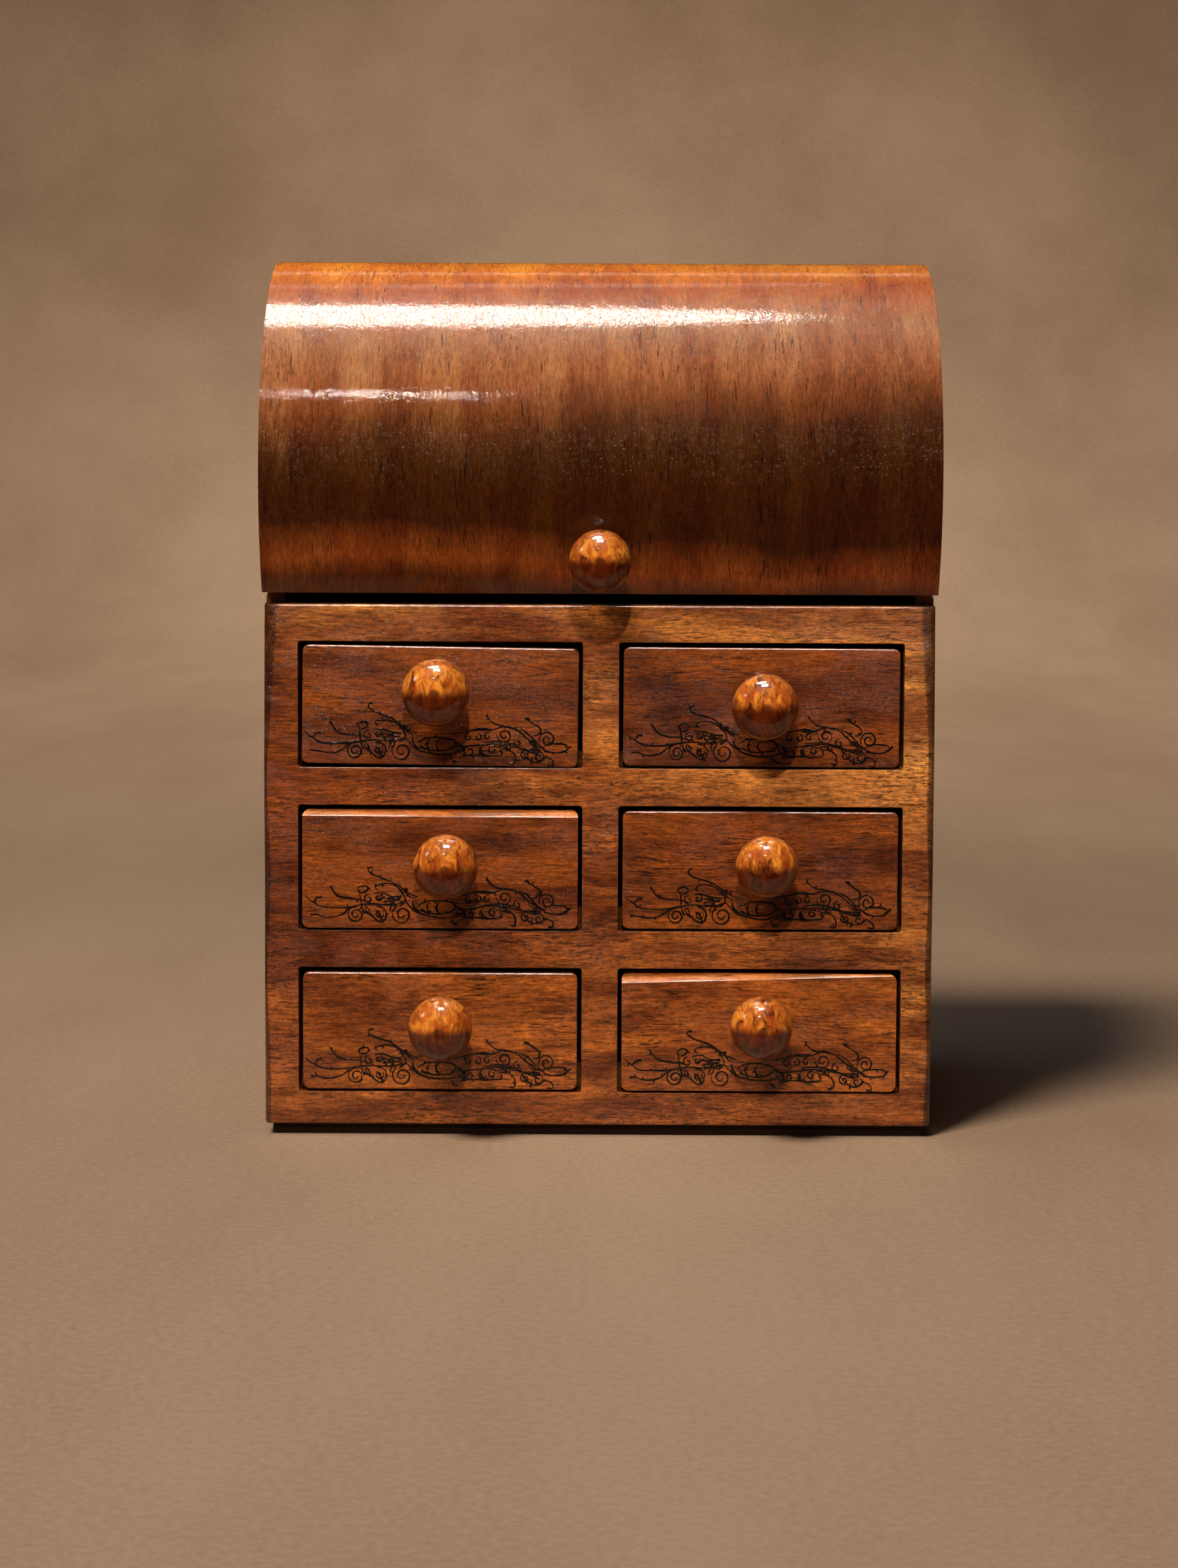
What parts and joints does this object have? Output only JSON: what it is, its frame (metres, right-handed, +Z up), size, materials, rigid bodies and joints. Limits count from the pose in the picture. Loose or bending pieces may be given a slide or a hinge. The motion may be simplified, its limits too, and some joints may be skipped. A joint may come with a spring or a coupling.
{
  "type": "desktop mini chest of drawers",
  "caption": "Small glossy wooden desk chest: pull-out drawers with turned ball knobs in a one-board front, under a hinged barrel-shaped lid that covers a top compartment.",
  "frame": {"origin": "centre of the base plate's underside, on the table", "axes": "+Z up, -Y out of the front where the drawers open, +X to the right seen from the front"},
  "size_m": [0.1808, 0.1377, 0.2374],
  "materials": {
    "front_board": "clear gloss lacquer over a mid-brown open-pored hardwood",
    "side_boards": "clear gloss lacquer over dark brown hardwood",
    "lid_sheet": "thick clear gloss lacquer over orange-brown figured wood",
    "lid_ends": "clear gloss lacquer over dark brown hardwood",
    "drawer_fronts": "clear gloss lacquer over reddish brown wood, black scrolls",
    "turned_knobs": "thick clear gloss lacquer over orange burr wood",
    "inner_wood": "bare sanded wood",
    "drawer_boxes": "bare sanded wood",
    "dark_plate": "matt dark stained thin wood",
    "brass": "plain rolled brass"
  },
  "bodies": {
    "case": {"front_frame": "front_board", "left_side": "side_boards", "right_side": "side_boards", "back_panel": "side_boards", "centre_divider": "inner_wood", "shelf_upper_left": "inner_wood", "shelf_upper_right": "inner_wood", "shelf_lower_left": "inner_wood", "shelf_lower_right": "inner_wood", "bottom_board": "inner_wood", "case_top": "inner_wood", "base_plate": "dark_plate", "hinge_case_leaf_left": "brass", "hinge_case_leaf_right": "brass", "hinge_pins": "brass", "hinge_case_screws": "brass"},
    "lid": {"lid_shell": "lid_sheet", "lid_left_end": "lid_ends", "lid_right_end": "lid_ends", "lid_knob": "turned_knobs", "hinge_lid_leaf_left": "brass", "hinge_lid_leaf_right": "brass", "hinge_lid_screws": "brass"},
    "upper_left_drawer": {"upper_left_drawer_front": "drawer_fronts", "upper_left_drawer_left_side": "drawer_boxes", "upper_left_drawer_right_side": "drawer_boxes", "upper_left_drawer_back": "drawer_boxes", "upper_left_drawer_bottom": "drawer_boxes", "upper_left_drawer_knob": "turned_knobs"},
    "upper_right_drawer": {"upper_right_drawer_front": "drawer_fronts", "upper_right_drawer_left_side": "drawer_boxes", "upper_right_drawer_right_side": "drawer_boxes", "upper_right_drawer_back": "drawer_boxes", "upper_right_drawer_bottom": "drawer_boxes", "upper_right_drawer_knob": "turned_knobs"},
    "middle_left_drawer": {"middle_left_drawer_front": "drawer_fronts", "middle_left_drawer_left_side": "drawer_boxes", "middle_left_drawer_right_side": "drawer_boxes", "middle_left_drawer_back": "drawer_boxes", "middle_left_drawer_bottom": "drawer_boxes", "middle_left_drawer_knob": "turned_knobs"},
    "middle_right_drawer": {"middle_right_drawer_front": "drawer_fronts", "middle_right_drawer_left_side": "drawer_boxes", "middle_right_drawer_right_side": "drawer_boxes", "middle_right_drawer_back": "drawer_boxes", "middle_right_drawer_bottom": "drawer_boxes", "middle_right_drawer_knob": "turned_knobs"},
    "lower_left_drawer": {"lower_left_drawer_front": "drawer_fronts", "lower_left_drawer_left_side": "drawer_boxes", "lower_left_drawer_right_side": "drawer_boxes", "lower_left_drawer_back": "drawer_boxes", "lower_left_drawer_bottom": "drawer_boxes", "lower_left_drawer_knob": "turned_knobs"},
    "lower_right_drawer": {"lower_right_drawer_front": "drawer_fronts", "lower_right_drawer_left_side": "drawer_boxes", "lower_right_drawer_right_side": "drawer_boxes", "lower_right_drawer_back": "drawer_boxes", "lower_right_drawer_bottom": "drawer_boxes", "lower_right_drawer_knob": "turned_knobs"}
  },
  "joints": [
    {"name": "lid_hinge", "type": "hinge", "parent": "case", "child": "lid", "pos_m": [0, 0.0535, 0.1455], "axis": [-1, 0, 0], "range_deg": [0, 165]},
    {"name": "upper_left_slide", "type": "slide", "parent": "case", "child": "upper_left_drawer", "axis": [0, -1, 0], "range_m": [0, 0.083]},
    {"name": "upper_right_slide", "type": "slide", "parent": "case", "child": "upper_right_drawer", "axis": [0, -1, 0], "range_m": [0, 0.083]},
    {"name": "middle_left_slide", "type": "slide", "parent": "case", "child": "middle_left_drawer", "axis": [0, -1, 0], "range_m": [0, 0.083]},
    {"name": "middle_right_slide", "type": "slide", "parent": "case", "child": "middle_right_drawer", "axis": [0, -1, 0], "range_m": [0, 0.083]},
    {"name": "lower_left_slide", "type": "slide", "parent": "case", "child": "lower_left_drawer", "axis": [0, -1, 0], "range_m": [0, 0.083]},
    {"name": "lower_right_slide", "type": "slide", "parent": "case", "child": "lower_right_drawer", "axis": [0, -1, 0], "range_m": [0, 0.083]}
  ]
}
